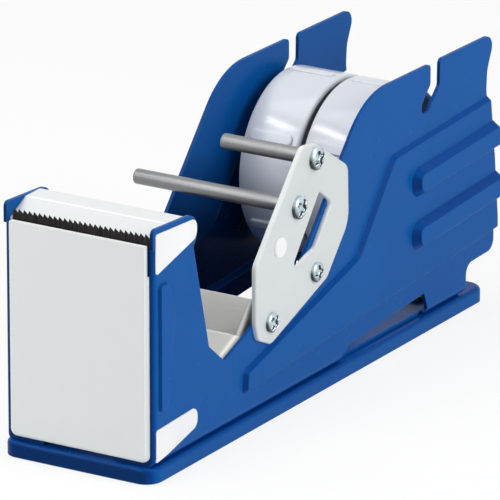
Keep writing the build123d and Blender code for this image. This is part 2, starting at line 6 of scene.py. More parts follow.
# %% load the frame
import bmesh
import bpy
import math
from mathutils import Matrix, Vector


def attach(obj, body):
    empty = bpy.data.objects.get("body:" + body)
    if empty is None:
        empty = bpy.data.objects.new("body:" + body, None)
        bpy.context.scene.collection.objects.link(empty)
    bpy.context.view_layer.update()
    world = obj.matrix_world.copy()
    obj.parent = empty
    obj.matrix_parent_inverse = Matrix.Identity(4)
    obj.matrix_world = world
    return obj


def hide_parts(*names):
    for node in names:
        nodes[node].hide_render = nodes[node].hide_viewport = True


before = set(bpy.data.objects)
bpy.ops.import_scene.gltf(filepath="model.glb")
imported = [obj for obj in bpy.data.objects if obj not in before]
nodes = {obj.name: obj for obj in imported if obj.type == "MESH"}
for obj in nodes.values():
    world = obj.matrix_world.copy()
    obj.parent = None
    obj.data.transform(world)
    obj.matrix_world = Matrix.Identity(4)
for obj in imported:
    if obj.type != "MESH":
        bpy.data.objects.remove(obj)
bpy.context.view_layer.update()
print("pieces in the frame:", len(nodes))

# %% [markdown]
# Finishes, geometry trees and the white background are all small networks of nodes. Wiring
# each one by hand would repeat the same calls, so a short helper keeps a network readable: it
# adds a node, sets its sockets and returns it. Measures of forms are written in millimetres
# from here on, and MM turns them into metres.

# %% helper for node networks
MM = 0.001


class Network:
    """A node tree with short calls to add and join nodes."""

    def __init__(self, tree):
        self.tree = tree

    def add(self, kind, **sockets):
        """Adds a node and sets sockets by name, with an underscore for each space."""
        node = self.tree.nodes.new(kind)
        for name, value in sockets.items():
            self.put(node.inputs[name.replace("_", " ")], value)
        return node

    def put(self, socket, value):
        """A socket takes either a plain value or another node's output."""
        if isinstance(value, bpy.types.NodeSocket):
            self.tree.links.new(value, socket)
        elif isinstance(value, tuple) and len(value) == 3 and len(socket.default_value) == 4:
            socket.default_value = (*value, 1)
        else:
            socket.default_value = value

    def maths(self, operation, first, second):
        node = self.tree.nodes.new("ShaderNodeMath")
        node.operation = operation
        self.put(node.inputs[0], first)
        self.put(node.inputs[1], second)
        return node.outputs[0]


# %% [markdown]
# Every finish is one such network. Patterns read Object coordinates, which here are metres from
# the middle of the dispenser's base, so one scale value means the same size on every piece. A
# finish builds its colour up in coats: each coat lays a colour over what is there, as far as a
# share from 0 to 1 says.

# %% helper for finishes
class Finish(Network):
    """One material and its shader network."""

    def __init__(self, name, colour):
        self.material = bpy.data.materials.new(name)
        self.material.use_nodes = True
        super().__init__(self.material.node_tree)
        self.shader = self.tree.nodes["Principled BSDF"]
        self.place = self.add("ShaderNodeTexCoord").outputs["Object"]
        self.surface = self.add("ShaderNodeNewGeometry").outputs
        self.colour = colour

    def noise(self, size, detail, roughness=0.5, stretch=(1, 1, 1)):
        """Soft noise whose patches are about `size` metres across, stretched along the axes."""
        scale = tuple(1 / (size * share) for share in stretch)
        mapping = self.add("ShaderNodeMapping", Vector=self.place, Scale=scale)
        return self.add("ShaderNodeTexNoise", Vector=mapping.outputs[0], Scale=1.0,
                        Detail=detail, Roughness=roughness).outputs["Fac"]

    def span(self, value, low, high, start=0.35, end=0.65):
        """Maps values between start and end to a number between low and high."""
        return self.add("ShaderNodeMapRange", Value=value, From_Min=start, From_Max=end,
                        To_Min=low, To_Max=high).outputs[0]

    def times(self, first, second):
        return self.maths("MULTIPLY", first, second)

    def along(self, axis, vector):
        """One part of a vector: X, Y or Z."""
        return self.add("ShaderNodeSeparateXYZ", Vector=vector).outputs[axis]

    def facing(self, direction, none, full, normal=None):
        """A share that goes from 0 to 1 as the cosine to a direction goes from none to full."""
        dot = self.tree.nodes.new("ShaderNodeVectorMath")
        dot.operation = "DOT_PRODUCT"
        self.put(dot.inputs[0], self.surface["Normal"] if normal is None else normal)
        self.put(dot.inputs[1], direction)
        return self.span(dot.outputs["Value"], 0.0, 1.0, none, full)

    def slanted(self, start, full, last, end):
        """A share that is 1 where the normal's x lies from full to last, as on a rolled edge."""
        across = self.along("X", self.surface["Normal"])
        return self.times(self.span(across, 0.0, 1.0, start, full),
                          self.span(across, 1.0, 0.0, last, end))

    def edges(self, radius):
        """Rounded normals near edges, and a share that is 1 on an edge and 0 on a flat."""
        bevel = self.add("ShaderNodeBevel", Radius=radius)
        bevel.samples = 6
        share = self.facing(self.surface["True Normal"], 0.98, 0.75, bevel.outputs[0])
        return bevel.outputs[0], share

    def bump(self, height, distance, strength, normal):
        return self.add("ShaderNodeBump", Height=height, Strength=strength, Distance=distance,
                        Normal=normal).outputs[0]

    def coat(self, share, colour):
        """Lays a colour over what is there, as far as the share says."""
        mix = self.tree.nodes.new("ShaderNodeMix")
        mix.data_type = "RGBA"
        below, above, mixed = mix.inputs[6], mix.inputs[7], mix.outputs[2]
        self.put(mix.inputs[0], share)
        self.put(below, self.colour)
        self.put(above, colour)
        self.colour = mixed

    def set(self, **sockets):
        """Gives the shader its colour and its other values."""
        for name, value in dict(Base_Color=self.colour, **sockets).items():
            self.put(self.shader.inputs[name.replace("_", " ")], value)
        print("finish", self.material.name, "with", len(self.tree.nodes), "nodes")

    def dress(self, *names):
        """Puts this finish on CAD pieces, over the plain one they came with."""
        for name in names:
            slots = nodes[name].data.materials
            slots.clear()
            slots.append(self.material)
        print(self.material.name, "on", ", ".join(names))


def shade(colour, share):
    """The same colour, darker or lighter."""
    return tuple(min(1.0, share * value) for value in colour)


# %% [markdown]
# The blue is a baked enamel on steel sheet: a smooth gloss coat with a faint orange-peel
# ripple, a colour that is a touch lighter on the edges, partly wear where the coat pulls thin
# and partly a painted highlight, and light handling scuffs that show only as duller patches.
# Painted shade makes it deeper on the sloping sides of the pressings, on upright front faces
# and low down between the plates. One network with two colours makes both the blue enamel and
# the pale grey one, because both come from the same paint line. A bend is known by its
# direction and gets a painted highlight.

# %% enamels
to_right, to_left, to_front = (1.0, 0.0, 0.0), (-1.0, 0.0, 0.0), (0.0, -1.0, 0.0)
flat, sloping = 0.97, 0.8
facing_middle, open_air = -28 * MM, -8 * MM
shadow_floor, shadow_top = 46 * MM, 86 * MM


def enamel(name, colour, wear_and_highlight_colour, shade_colour, gloss, sheen_level, front_shade=0.0,
           inside_shade=0.0, bends=()):
    """The front and inside numbers say how far painted shade darkens upright fronts and the
    space between the plates.
    """
    paint = Finish(name, colour)
    rounded, edge = paint.edges(0.7 * MM)
    drift = paint.span(paint.noise(40 * MM, 3), 0.0, 0.45)
    paint.coat(drift, shade(colour, 0.88))

    # Painted shade: the sloping sides of the pressings take the shade colour.
    slope = paint.times(paint.facing(to_right, flat, sloping),
                        paint.facing(to_left, flat, sloping))
    paint.coat(paint.times(slope, 0.8), shade_colour)
    # Painted highlight along each bend, found by its direction.
    for bend in bends:
        bend_highlight = paint.facing(bend, 0.985, 0.997)
        paint.coat(paint.times(bend_highlight, 0.8), wear_and_highlight_colour)
    # Painted shade on upright faces that look to the front.
    front = paint.facing(to_front, 0.5, 0.95)
    paint.coat(paint.times(front, front_shade), shade(shade_colour, 0.35))

    # Painted shade on faces that turn in between the plates, deeper towards the bottom.
    turned_in = paint.times(paint.along("X", paint.place),
                            paint.along("X", paint.surface["Normal"]))
    inside = paint.span(turned_in, 1.0, 0.0, facing_middle, open_air)
    low = paint.span(paint.along("Z", paint.place), inside_shade, 0.0, shadow_floor, shadow_top)
    paint.coat(paint.times(inside, low), shade(shade_colour, 0.08))

    dust = paint.span(paint.noise(0.7 * MM, 1), 0.0, 0.2, 0.62, 0.72)
    paint.coat(dust, shade(colour, 1.12))
    # Edges lighter in patches: partly wear, partly a painted highlight.
    worn_and_highlight = paint.times(edge, paint.span(paint.noise(6 * MM, 3), 0.45, 0.95))
    paint.coat(worn_and_highlight, wear_and_highlight_colour)
    scuff = paint.noise(4 * MM, 3, 0.6, (1, 2, 1))
    peel = paint.noise(1.6 * MM, 1)
    paint.set(Roughness=paint.span(scuff, gloss, gloss + 0.05, 0.5, 0.75),
              Specular_IOR_Level=sheen_level,
              Normal=paint.bump(peel, 0.02 * MM, 0.4, rounded))
    return paint


blue_enamel = enamel("blue_enamel", colour=(0.003, 0.1, 0.375), wear_and_highlight_colour=(0.03, 0.2, 0.56),
                     shade_colour=(0.001, 0.062, 0.3), gloss=0.24, sheen_level=0.05,
                     front_shade=0.9, inside_shade=0.85)
cover_fold, top_fold = (0.545, -0.838, 0.0), (0.0, -0.233, 0.972)
grey_enamel = enamel("grey_enamel", colour=(0.715, 0.748, 0.742), wear_and_highlight_colour=(0.93, 0.94, 0.94),
                     shade_colour=(0.74, 0.77, 0.76), gloss=0.36, sheen_level=0.4,
                     bends=(cover_fold, top_fold))
blue_enamel.dress("base_pan", "left_side_plate", "right_side_plate")
grey_enamel.dress("rod_bracket", "top_sheet")

# %% [markdown]
# Bare metals come in four kinds here: rolled sheet with fine lines along its length, ground
# rod with faint rings from the wheel, bright zinc plating on screws and nuts, and the dark
# tempered strip of the cutter. What sets three of them apart is the direction and size of the
# marks, so one network takes a stretch for the marks. The tray's rolled side on the right
# catches the light, and the same network draws that, by the slant of the normal.

# %% marked metals
def marked_metal(name, colour, stretch, rough, metallic, low=0.82, sheen_level=0.5, rolled=0.0):
    """Bare metal with fine marks: `low` is how dark they are, `rolled` how bright a bend is."""
    metal = Finish(name, shade(colour, low))
    rounded, edge = metal.edges(0.35 * MM)
    lines = metal.noise(0.5 * MM, 3, 0.6, stretch)
    cloud = metal.noise(18 * MM, 3)
    metal.coat(metal.span(lines, 0, 1), colour)
    metal.coat(metal.span(cloud, 0, 0.4), shade(colour, 1.15))
    # Painted highlight: edges are drawn lighter.
    metal.coat(edge, shade(colour, 1.5))
    bend = metal.slanted(0.2, 0.45, 0.75, 0.92)
    metal.coat(metal.times(bend, rolled), shade(colour, 2.0))
    metal.set(Metallic=metallic, Specular_IOR_Level=sheen_level,
              Roughness=metal.span(cloud, rough - 0.06, rough + 0.1),
              Normal=metal.bump(lines, 0.012 * MM, 0.6, rounded))
    return metal


bare_sheet = marked_metal("bare_sheet", colour=(0.45, 0.45, 0.43), stretch=(18, 1, 1),
                          rough=0.42, metallic=0.55, low=0.93, rolled=0.8)
ground_rod = marked_metal("ground_rod", colour=(0.235, 0.237, 0.243), stretch=(0.25, 6, 6),
                          rough=0.36, metallic=0.75)
blade_strip = marked_metal("blade_strip", colour=(0.03, 0.026, 0.026), stretch=(1, 1, 14),
                           rough=0.42, metallic=0.2, low=0.15, sheen_level=0.12)

# %% [markdown]
# Zinc plating has a mottled grain instead of marks. It mirrors its surroundings, and a painted
# reflection stands for that: it stays bright where it faces up and is darkened where it faces
# down or forward. Edges get a painted highlight. Screw heads carry an attribute that says how
# deep
# each point of the cross recess is sunk: painted shade darkens the walls and a painted highlight
# lightens the floor.

# %% zinc plating
def zinc_plate(name, colour, rough):
    metal = Finish(name, shade(colour, 0.8))
    rounded, edge = metal.edges(0.2 * MM)
    grain = metal.add("ShaderNodeTexVoronoi", Vector=metal.place, Scale=1 / (0.8 * MM))
    mottle = metal.span(metal.noise(2.2 * MM, 3), 0, 1)
    metal.coat(mottle, colour)
    # Painted reflection: darker where the surface faces down or forward.
    studio_up = (0.0, 0.6, 0.8)
    metal.coat(metal.facing(studio_up, -0.15, -0.6), shade(colour, 0.1))
    # Painted highlight on the edges.
    metal.coat(edge, shade(colour, 1.4))

    recess = metal.add("ShaderNodeAttribute")
    recess.attribute_name = "recess"
    sunk = recess.outputs["Fac"]
    # Painted highlight on the recess floor, then painted shade on its walls.
    metal.coat(metal.span(sunk, 0.0, 0.8, 0.85, 1.0), shade(colour, 1.3))
    wall = metal.times(metal.span(sunk, 0.0, 1.0, 0.1, 0.4),
                       metal.span(sunk, 1.0, 0.25, 0.6, 0.95))
    metal.coat(wall, shade(colour, 0.05))
    metal.set(Metallic=1.0,
              Roughness=metal.span(grain.outputs["Distance"], rough, rough + 0.14, 0, 0.6),
              Normal=metal.bump(mottle, 0.008 * MM, 0.5, rounded))
    return metal


zinc = zinc_plate("zinc_plating", colour=(0.60, 0.705, 0.765), rough=0.1)
zinc.dress("cover_nuts", "top_sheet_screws", "bracket_nuts", "drum_axle", "axle_collars")

# %% [markdown]
# The drums are moulded in a pale plastic with a soft gloss, and the pads and the plug are
# white. Feet are black rubber, and their screws are black. Moulded things have a fine spark
# texture from the mould, a slow drift in colour, and a painted highlight on their edges. On the
# drums a painted highlight also goes on the rounded rim on the left, which is known by its
# normal.

# %% plastics and rubber
def moulded(name, colour, rough, grain_size, depth, rim_highlight=0.0):
    """Moulded stuff: `depth` is how deep its grain goes, the last number how bright the painted
    highlight on its rims is.
    """
    plastic = Finish(name, shade(colour, 0.95))
    rounded, edge = plastic.edges(0.4 * MM)
    grain = plastic.noise(grain_size, 2)
    drift = plastic.span(plastic.noise(25 * MM, 2), 0, 1)
    plastic.coat(drift, colour)
    # Painted highlight on the edges.
    plastic.coat(plastic.times(edge, 0.9), shade(colour, 1.35))
    # Painted highlight on the drums' rounded rim, picked out by the normal.
    rim = plastic.slanted(-0.97, -0.85, -0.65, -0.35)
    plastic.coat(plastic.times(rim, rim_highlight), shade(colour, 1.4))
    plastic.set(Roughness=plastic.span(grain, rough - 0.05, rough + 0.08),
                Normal=plastic.bump(grain, depth, 0.5, rounded))
    return plastic


drum_plastic = moulded("drum_plastic", colour=(0.68, 0.705, 0.755), rough=0.15,
                       grain_size=0.5 * MM, depth=0.008 * MM, rim_highlight=0.9)
white_plastic = moulded("white_plastic", colour=(0.96, 0.96, 0.96), rough=0.45,
                        grain_size=0.4 * MM, depth=0.01 * MM)
foot_rubber = moulded("foot_rubber", colour=(0.025, 0.025, 0.026), rough=0.72,
                      grain_size=0.6 * MM, depth=0.03 * MM)
black_steel = moulded("black_steel", colour=(0.012, 0.012, 0.014), rough=0.3,
                      grain_size=0.5 * MM, depth=0.01 * MM)
drum_plastic.dress("drum_spacer")
white_plastic.dress("upper_side_pad", "lower_side_pad")

# %% [markdown]
# Forms are built from outlines. Real pieces have no sharp corners, so a helper rounds each
# corner of an outline with a short arc. Another closes a mesh: it merges double points, turns
# the normals outward and shades it smooth up to an angle.

# %% outlines and closed meshes
def rounded_line(corners, radii, steps=4):
    """A closed outline whose corners are cut by arcs of these radii."""
    line = []
    for here, radius in enumerate(radii):
        before, corner, after = (Vector(corners[(here + step) % len(corners)])
                                 for step in (-1, 0, 1))
        if radius == 0:
            line.append(corner)
            continue
        back, on = (before - corner).normalized(), (after - corner).normalized()
        turn = math.acos(max(-1.0, min(1.0, back.dot(on))))
        reach = radius / math.tan(turn / 2)
        middle = corner + (back + on).normalized() * radius / math.sin(turn / 2)
        first, last = corner + back * reach - middle, corner + on * reach - middle
        for step in range(steps + 1):
            share = step / steps
            spoke = (first * (1 - share) + last * share).normalized() * radius
            line.append(middle + spoke)
    return line


def new_mesh(name, points, faces=()):
    """A mesh from points in millimetres."""
    mesh = bpy.data.meshes.new(name)
    mesh.from_pydata([[value * MM for value in point] for point in points], [], faces)
    return mesh


def closed(mesh, smooth_angle):
    """Merges, turns outward and smooths a mesh, and keeps its attributes."""
    form = bmesh.new()
    form.from_mesh(mesh)
    bmesh.ops.remove_doubles(form, verts=form.verts, dist=1e-7)
    bmesh.ops.recalc_face_normals(form, faces=form.faces)
    form.to_mesh(mesh)
    form.free()
    mesh.shade_smooth()
    mesh.set_sharp_from_angle(angle=math.radians(smooth_angle))
    return mesh


# %% [markdown]
# Two ways of building cover most pieces. Rods, rivets, feet, the plug and the drums' bodies are
# turned: a closed outline of (along, radius) pairs is swept round its axis. The cover, the
# tray, teeth, studs, ribs and pads are stacks of equal loops, joined from one to the next and
# closed at both ends.

# %% turned and stacked shapes
def turned(name, outline, centre=(0, 0, 0), axis="X", segments=72):
    """Sweeps a closed (along, radius) outline round an axis."""
    points, faces = [], []
    count = len(outline)
    for segment in range(segments):
        angle = 2 * math.pi * segment / segments
        side, up = math.cos(angle), math.sin(angle)
        for along, radius in outline:
            spot = ((along, radius * side, radius * up) if axis == "X"
                    else (radius * side, radius * up, along))
            points.append([c + s for c, s in zip(centre, spot)])
        ahead = (segment + 1) % segments
        for near in range(count):
            far = (near + 1) % count
            near_pole, far_pole = outline[near][1] == 0, outline[far][1] == 0
            if near_pole and far_pole:
                continue
            ring = [segment * count + near, segment * count + far,
                    ahead * count + far, ahead * count + near]
            if near_pole:
                ring.pop(3)
            elif far_pole:
                ring.pop(2)
            faces.append(ring)
    return closed(new_mesh(name, points, faces), 35.0)


def tube_faces(loops, count):
    """The faces between neighbouring loops of `count` points."""
    return [[loop * count + step, loop * count + (step + 1) % count,
             (loop + 1) * count + (step + 1) % count, (loop + 1) * count + step]
            for loop in range(loops - 1) for step in range(count)]


def stacked(name, loops, smooth_angle=30.0):
    """Closes a stack of equal loops into one solid."""
    count = len(loops[0])
    ends = [list(range(count)), [(len(loops) - 1) * count + step for step in range(count)]]
    return closed(new_mesh(name, [point for loop in loops for point in loop],
                           tube_faces(len(loops), count) + ends), smooth_angle)


# %% [markdown]
# A finished mesh is put in the scene at the origin, unturned and unscaled. Its finish is on it
# already or is given here, and it says which body it rides on and which solid it stands for.

# %% helper that puts a piece in the scene
def stand(name, mesh, body, replaced, finish=None):
    piece = bpy.data.objects.new(name, mesh)
    bpy.context.scene.collection.objects.link(piece)
    if finish is not None:
        mesh.materials.clear()
        mesh.materials.append(finish.material)
    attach(piece, body)
    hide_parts(replaced)
    print(name, len(mesh.polygons), "faces")


# %% [markdown]
# The two guide rods are plain ground steel bar with a small round on the free end. Rolled flat
# stock would show a seam, so they are turned from solid bar, like the real ones.

# %% guide rods
bracket_back, rod_radius = 34.5, 3.175
rods = (("upper_rod", 41.0, (-13.3575, 101.939)), ("lower_rod", 74.1, (-26.6825, 85.153)))
for rod_name, rod_length, rod_axis in rods:
    free_end = bracket_back - rod_length
    rod_line = rounded_line([(free_end, 0.0), (free_end, rod_radius), (bracket_back, rod_radius),
                             (bracket_back, 0.0)], [0, 0.8, 0, 0])
    stand("turned_" + rod_name, turned(rod_name + "_bar", rod_line, (0, *rod_axis)),
          "frame", rod_name, ground_rod)

# %% [markdown]
# Screws, rivets, feet, drum pads and the cutter's teeth all repeat one small form. Geometry
# Nodes sets a form out at places, round a ring or along a row, so the form is made once and the
# numbers that matter stay as named inputs. A short helper builds such a tree, and another runs
# it and keeps the result as a plain mesh.

# %% helpers for geometry nodes
class Growth(Network):
    """A geometry tree with named inputs that ends in Realize Instances and Set Material."""

    kinds = {"piece": "NodeSocketObject", "number": "NodeSocketInt", "size": "NodeSocketFloat",
             "vector": "NodeSocketVector", "finish": "NodeSocketMaterial",
             "geometry": "NodeSocketGeometry"}

    def __init__(self, name, **inputs):
        super().__init__(bpy.data.node_groups.new(name, "GeometryNodeTree"))
        face = self.tree.interface
        face.new_socket("Geometry", in_out="OUTPUT", socket_type=self.kinds["geometry"])
        self.identifiers = {}
        every = dict(Base="geometry", Finish="finish", Form="piece", **inputs)
        for label, kind in every.items():
            item = face.new_socket(label, in_out="INPUT", socket_type=self.kinds[kind])
            self.identifiers[label] = item.identifier
        self.given = self.tree.nodes.new("NodeGroupInput").outputs
        pattern = self.add("GeometryNodeObjectInfo", Object=self.given["Form"])
        self.form = pattern.outputs["Geometry"]

    def with_base(self, geometry):
        """The forms together with the base that they stand on."""
        both = self.add("GeometryNodeJoinGeometry")
        self.put(both.inputs[0], geometry)
        self.put(both.inputs[0], self.given["Base"])
        return both.outputs[0]

    def close(self, geometry):
        real = self.add("GeometryNodeRealizeInstances", Geometry=geometry)
        dressed = self.add("GeometryNodeSetMaterial", Geometry=real.outputs[0],
                           Material=self.given["Finish"])
        self.put(self.tree.nodes.new("NodeGroupOutput").inputs[0], dressed.outputs[0])
        print("tree", self.tree.name, "with inputs", ", ".join(self.identifiers))


def grown(name, growth, base, finish, form, **sizes):
    """Runs a tree on a base mesh with a small form, and returns the plain mesh it makes."""
    pattern = bpy.data.objects.new(name + "_form", form)
    maker = bpy.data.objects.new(name + "_maker", base)
    for helper in (pattern, maker):
        bpy.context.scene.collection.objects.link(helper)
    layer = maker.modifiers.new("grow", "NODES")
    layer.node_group = growth.tree
    given = dict(Form=pattern, Finish=finish.material, **sizes)
    for label, value in given.items():
        layer[growth.identifiers[label]] = value
    bpy.context.view_layer.update()
    ready = maker.evaluated_get(bpy.context.evaluated_depsgraph_get())
    mesh = bpy.data.meshes.new_from_object(ready)
    mesh.name = name
    for helper in (maker, pattern):
        bpy.data.objects.remove(helper)
    return mesh


# %% [markdown]
# The first tree puts a form on each point of its base, turned to face the way that the face
# under it does, and spins each one by a random angle about its own axis, because nobody drives
# screws to the same angle. The seed is fixed, so they come out the same each time. A turned
# form needs no spin, because it looks the same from every side.

# %% tree that sets forms at places
at_places = Growth("forms_at_places", Turn="vector", Spin="size", Seed="number")
spin = at_places.add("FunctionNodeRandomValue", Seed=at_places.given["Seed"])
spin.data_type = "FLOAT"
lowest, highest, spin_angle = spin.inputs[2], spin.inputs[3], spin.outputs[1]
at_places.put(lowest, at_places.maths("MULTIPLY", at_places.given["Spin"], -1.0))
at_places.put(highest, at_places.given["Spin"])
set_out = at_places.add("GeometryNodeInstanceOnPoints", Points=at_places.given["Base"],
                        Instance=at_places.form)
turned_out = at_places.add("GeometryNodeRotateInstances", Instances=set_out.outputs[0],
                           Rotation=at_places.given["Turn"])
own_turn = at_places.add("ShaderNodeCombineXYZ", Z=spin_angle)
spun = at_places.add("GeometryNodeRotateInstances", Instances=turned_out.outputs[0],
                     Rotation=own_turn.outputs[0], Local_Space=True)
at_places.close(spun.outputs[0])

upright, outward = (0.0, 0.0, 0.0), (0.0, math.pi / 2, 0.0)


def set_at(name, node, places, form, finish, turn=upright, spin=0.0, seed=0):
    """Sets a form out at places in millimetres and puts the result in the scene."""
    mesh = grown(name, at_places, new_mesh(name + "_places", places), finish, form, Turn=turn,
                 Spin=spin, Seed=seed)
    stand(name, mesh, "frame", node)


# %% [markdown]
# A pan head screw has a low head with an upright wall, a cross recess with a round middle and
# a threaded shank. The head is a grid of rings: its height follows a flat dome, and the recess
# sinks it. The grid keeps how deep each point is sunk as the attribute that the plating reads.

# %% pan head screw
def smooth_step(low, high, value):
    share = max(0.0, min(1.0, (value - low) / (high - low)))
    return share * share * (3 - 2 * share)


def pan_screw(name, head_radius, head_height, shank_radius, shank_length):
    rings, spokes = 26, 72
    pitch, thread_depth, point_taper = 0.8, 0.28, 0.5
    arm, reach, core = 0.17 * head_radius, 0.78 * head_radius, 0.4 * head_radius
    circle = [(math.cos(2 * math.pi * spoke / spokes), math.sin(2 * math.pi * spoke / spokes))
              for spoke in range(spokes)]
    points, sunk = [], []

    def slot(along, across):
        return (smooth_step(arm * 1.5, arm * 0.8, abs(across))
                * smooth_step(reach, reach * 0.85, abs(along)))

    for ring in range(rings + 1):
        out = math.sin(math.pi / 2 * ring / rings) * head_radius
        dome = max(0.0, 1 - (out / head_radius) ** 2.2) ** 0.7
        for side, up in circle:
            x, y = out * side, out * up
            cross = max(slot(x, y), slot(y, x), smooth_step(core * 1.2, core * 0.8, out))
            depth = cross * head_height * 0.75 * (1 - 0.55 * out / reach)
            points.append((x, y, head_height * (0.5 + 0.5 * dome) - depth))
            sunk.append(cross)

    below = [(head_radius, 0.0), (shank_radius, 0.0)]
    for turn in range(int(shank_length / pitch)):
        below += [(shank_radius - thread_depth, -(turn + 0.5) * pitch),
                  (shank_radius, -(turn + 1) * pitch)]
    below.append((shank_radius - point_taper, -shank_length))
    points += [(radius * side, radius * up, height) for radius, height in below
               for side, up in circle]
    sunk += [0.0] * (len(points) - len(sunk))

    rows = rings + 1 + len(below)
    shank_end = [(rows - 1) * spokes + spoke for spoke in range(spokes)]
    mesh = new_mesh(name, points, tube_faces(rows, spokes) + [shank_end])
    mesh.attributes.new("recess", "FLOAT", "POINT").data.foreach_set("value", sunk)
    return closed(mesh, 50.0)


# %% screws at their places
bracket_face, pan_top = 36.5, 8.5
foot_places = [(side * 22.5, y) for side in (-1, 1) for y in (-111.9625, 92.443)]
bracket_bolts = ((-12.8245, 53.87), (-47.203, 42.861))
most_spin = 0.8
set_at("driven_rod_screws", "rod_screws", [(bracket_face, *axis) for _, _, axis in rods],
       pan_screw("rod_screw", head_radius=4.75, head_height=2.7, shank_radius=2.5,
                 shank_length=10.0),
       zinc, turn=outward, spin=most_spin, seed=4)
set_at("driven_bracket_screws", "bracket_screws",
       [(bracket_face, *axis) for axis in bracket_bolts],
       pan_screw("bracket_screw", head_radius=4.1, head_height=2.3, shank_radius=2.5,
                 shank_length=8.5),
       zinc, turn=outward, spin=most_spin, seed=9)
set_at("driven_foot_screws", "foot_screws", [(*place, pan_top) for place in foot_places],
       pan_screw("foot_screw", head_radius=4.0, head_height=2.6, shank_radius=2.0,
                 shank_length=6.6),
       black_steel, spin=most_spin, seed=2)

# %% [markdown]
# Rivets hold the plates and the tray to the base pan. Each is a low dome, a shank and a set
# end. The feet are rubber pucks with a seat for the screw. Both are turned once and set out by
# the same tree.

# %% rivets and feet
def rivet_form(name, grip):
    """A rivet whose dome stands on the sheets at height 0, with the set end below the grip."""
    dome_radius, shank_radius, set_radius, head = 3.0, 1.6, 2.5, 1.0
    line = rounded_line([(head, 0.0), (head, dome_radius), (0.0, dome_radius),
                         (0.0, shank_radius), (-grip, shank_radius), (-grip, set_radius),
                         (-grip - head, set_radius), (-grip - head, 0.0)],
                        [0, 0.9, 0, 0, 0, 0, 0.5, 0])
    return turned(name, line, axis="Z", segments=32)


base_rivet_places = [(side * 24.0, y, pan_top) for side in (-1, 1)
                     for y in (-86.645, -4.03, 105.235)]
tray_rivet_places = [(side * 22.5, -100.7695, 9.7) for side in (-1, 1)]
set_at("set_base_rivets", "base_rivets", base_rivet_places,
       rivet_form("base_rivet", grip=3.0), zinc)
set_at("set_tray_rivets", "tray_rivets", tray_rivet_places,
       rivet_form("tray_rivet", grip=4.2), zinc)

foot_radius, foot_top_radius, foot_height, seat_radius, seat_height = 6.9, 6.55, 5.5, 2.1, 1.6
foot_line = rounded_line([(0.0, 0.0), (0.0, foot_radius), (foot_height, foot_top_radius),
                          (foot_height, seat_radius), (seat_height, seat_radius),
                          (seat_height, 0.0)], [0, 0.8, 0.3, 0, 0, 0])
set_at("moulded_feet", "rubber_feet", [(*place, 0.0) for place in foot_places],
       turned("foot", foot_line, axis="Z"), foot_rubber)

# %% [markdown]
# A white plastic plug closes the third rod hole in the bracket. It is a shallow dome on a stem
# with a small barb behind the sheet.

# %% spare hole plug
plug_front, plug_end, plug_axis = 37.7, 32.9, (-40.807, 72.291)
dome_radius, stem_radius, barb_radius, tip_radius = 4.35, 2.5, 2.95, 2.35
plug_line = rounded_line([(plug_front, 0.0), (plug_front, dome_radius),
                          (bracket_face, dome_radius), (bracket_face, stem_radius),
                          (bracket_back, stem_radius), (bracket_back, barb_radius),
                          (plug_end, tip_radius), (plug_end, 0.0)],
                         [0, 1.1, 0, 0, 0, 0, 0.4, 0])
stand("domed_plug", turned("domed_plug", plug_line, (0, *plug_axis)), "frame",
      "spare_hole_plug", white_plastic)

# %% [markdown]
# The cutter is a thin tempered strip. A grinding wheel cuts a flute up its face for each tooth,
# so the teeth lean a little and the face under them is ribbed. One tooth with its share of the
# strip is modelled once, and a second tree sets it out in a row above the clamped part.

# %% tree that sets forms in a row
in_row = Growth("forms_in_a_row", Count="number", Start="vector", Step="vector")
row_line = in_row.add("GeometryNodeMeshLine", Count=in_row.given["Count"],
                      Start_Location=in_row.given["Start"], Offset=in_row.given["Step"])
in_a_row = in_row.add("GeometryNodeInstanceOnPoints", Points=row_line.outputs[0],
                      Instance=in_row.form)
in_row.close(in_row.with_base(in_a_row.outputs[0]))

# %% cutter blade
front_y = -131.95
blade_sheet, strip_left, strip_right = 0.8, -28.6, 29.4
blade_bottom, blade_shoulder, blade_tip = 86.57, 97.6, 103.574
blade_left, tooth_count, tooth_pitch = -30.0, 27, 63.0 / 27
tooth_depth, flute_depth, lean = 1.5, 0.34, 0.26


def tooth_form():
    """One tooth and the strip under it: a ribbed face, a thinned edge and a flat back."""
    loops = []
    for share in (0.0, 0.1, lean * 0.6, lean, 0.45, 0.65, 0.85, 1.0):
        rise = share / lean if share < lean else (1 - share) / (1 - lean)
        top = blade_tip - tooth_depth * (1 - rise)
        face_y = front_y - blade_sheet + flute_depth * (1 - rise) ** 0.7
        section = ((face_y, blade_shoulder), (face_y, top - 2.6), (face_y + 0.05, top - 1.5),
                   (front_y - 0.12, top), (front_y, top - 0.1), (front_y, blade_shoulder))
        loops.append([(share * tooth_pitch, y, height) for y, height in section])
    return stacked("tooth_form", loops, smooth_angle=20.0)


strip_corners = ((strip_left, front_y - blade_sheet), (strip_right, front_y - blade_sheet),
                 (strip_right, front_y), (strip_left, front_y))
clamped_strip = stacked("clamped_strip", [[(x, y, height) for x, y in strip_corners]
                                          for height in (blade_bottom, blade_shoulder)])
blade_mesh = grown("ground_blade", in_row, clamped_strip, blade_strip, tooth_form(),
                   Count=tooth_count, Start=(blade_left * MM, 0.0, 0.0),
                   Step=(tooth_pitch * MM, 0.0, 0.0))
stand("ground_blade", blade_mesh, "frame", "cutter_blade")

# %% [markdown]
# The front cover is a shallow pan pressed from thin sheet. Its face rolls over to short rims at
# the sides and the bottom, the top edge is cut bare for the blade, and four weld studs stand on
# its back. Loops follow the outline from the face round the rim to the back, so one stack of
# them makes the whole pan, and the tree for rows sets the studs.

# %% front cover
cover_left, cover_right, cover_bottom, cover_top = -31.4, 32.7, 9.2, 99.32
cover_face, sheet_back, rim_top, cover_roll = -134.15, -133.15, 86.2, 1.8
low_corner, high_corner, cut_corner = 3.0, 2.0, 0.3
rim_sheet, roll_steps = 1.0, 6


